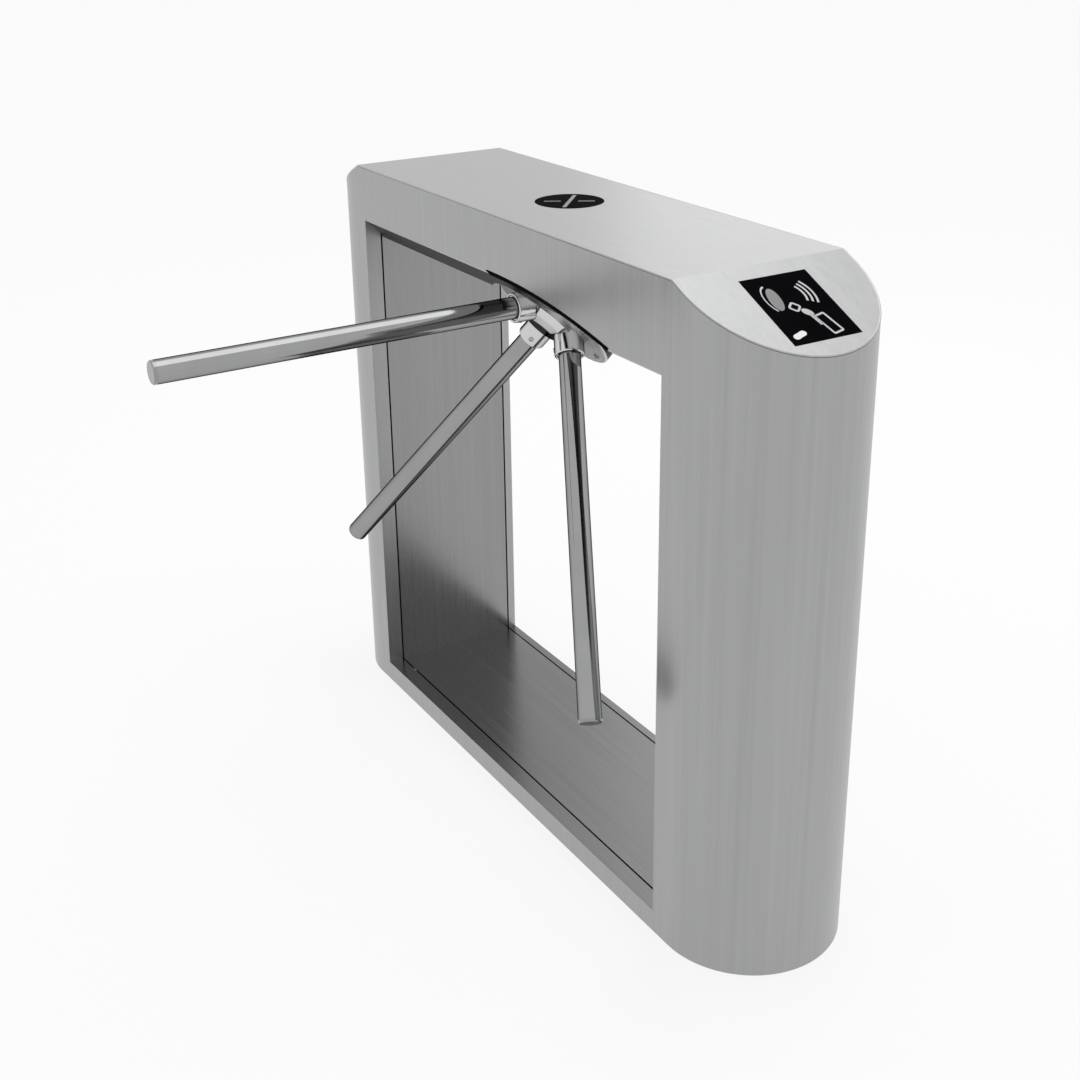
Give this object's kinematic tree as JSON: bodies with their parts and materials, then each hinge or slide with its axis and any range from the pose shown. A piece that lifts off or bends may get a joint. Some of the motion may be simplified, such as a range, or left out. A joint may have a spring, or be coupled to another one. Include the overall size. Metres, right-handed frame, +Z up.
{
  "type": "tripod turnstile",
  "caption": "Bridge-shaped stainless cabinet with an open window and a slanted hub carrying polished barrier arms; lift-off top with reader windows and a round indicator.",
  "frame": {"origin": "on the floor at the middle of the cabinet's footprint", "axes": "+X along the cabinet towards its near end, -Y out of the front where the level arm points, +Z up"},
  "size_m": [1.216, 0.7945, 0.98],
  "materials": {
    "skin_steel": "satin brushed stainless",
    "liner_steel": "satin brushed stainless",
    "plain_steel": "plain machined",
    "shroud_steel": "satin",
    "cast_alloy": "cast and machined",
    "bearing_steel": "ground",
    "black_paint": "semi-gloss",
    "black_plastic": "matte",
    "circuit_board": "matte",
    "supply_case": "perforated case",
    "black_rubber": "matte",
    "polished_steel": "polished stainless",
    "chrome_casting": "polished casting",
    "cage_brass": "plain",
    "friction_lining": "matte",
    "black_acrylic": "gloss"
  },
  "bodies": {
    "cabinet": {"front_skin": "skin_steel", "rear_skin": "skin_steel", "near_end_skin": "skin_steel", "far_end_skin": "skin_steel", "threshold_pan": "skin_steel", "near_jamb_liner": "liner_steel", "far_jamb_liner": "liner_steel", "sill_tray": "liner_steel", "beam_floor": "liner_steel", "scoop_panel": "liner_steel", "scoop_gusset": "liner_steel", "near_base_plate": "plain_steel", "far_base_plate": "plain_steel", "bulkhead_plate": "plain_steel", "outboard_plate": "plain_steel", "plate_standoff_1": "plain_steel", "plate_standoff_2": "plain_steel", "plate_standoff_3": "plain_steel", "drum_front_plate": "shroud_steel", "drum_shroud": "shroud_steel", "bearing_housing": "cast_alloy", "bearing_spacer": "cast_alloy", "bearing_retainer": "cast_alloy", "front_bearing_outer_ring": "bearing_steel", "rear_bearing_outer_ring": "bearing_steel", "drive_motor": "black_paint", "brake_magnet": "black_paint", "position_sensor_1": "black_plastic", "position_sensor_2": "black_plastic", "control_board": "circuit_board", "power_supply": "supply_case", "cable_grommet": "black_rubber"},
    "rotor": {"hub_disc": "polished_steel", "arm_tube_1": "polished_steel", "arm_tube_2": "polished_steel", "arm_tube_3": "polished_steel", "arm_cap_1": "polished_steel", "arm_cap_2": "polished_steel", "arm_cap_3": "polished_steel", "tripod_head": "chrome_casting", "main_shaft": "plain_steel", "drive_gear": "plain_steel", "shaft_nut": "plain_steel", "front_bearing_inner_ring": "bearing_steel", "rear_bearing_inner_ring": "bearing_steel", "front_bearing_ball_cage": "cage_brass", "rear_bearing_ball_cage": "cage_brass", "brake_friction_disc": "friction_lining", "encoder_disc": "black_plastic"},
    "pinion": {"motor_pinion": "plain_steel"},
    "armature": {"brake_armature": "plain_steel"},
    "cover": {"top_cover": "skin_steel", "near_reader_window": "black_acrylic", "far_reader_window": "black_acrylic", "indicator_lens": "black_acrylic", "near_reader_module": "black_plastic", "far_reader_module": "black_plastic", "indicator_board": "circuit_board"}
  },
  "joints": [
    {"name": "rotor_turn", "type": "hinge", "parent": "cabinet", "child": "rotor", "pos_m": [0, -0.036, 0.804], "axis": [0, 0.7373, 0.6756], "continuous": true},
    {"name": "pinion_turn", "type": "hinge", "parent": "cabinet", "child": "pinion", "pos_m": [0.02997, -0.08611, 0.85869], "axis": [0, 0.7373, 0.6756], "continuous": true},
    {"name": "armature_slide", "type": "slide", "parent": "cabinet", "child": "armature", "axis": [0, 0.7373, 0.6756], "range_m": [0, 0.0008]},
    {"name": "cover_lift", "type": "slide", "parent": "cabinet", "child": "cover", "axis": [0, 0, 1], "range_m": [0, 0.2]}
  ],
  "couplings": [
    {"joint": "pinion_turn", "follows": "rotor_turn", "ratio": -3}
  ]
}
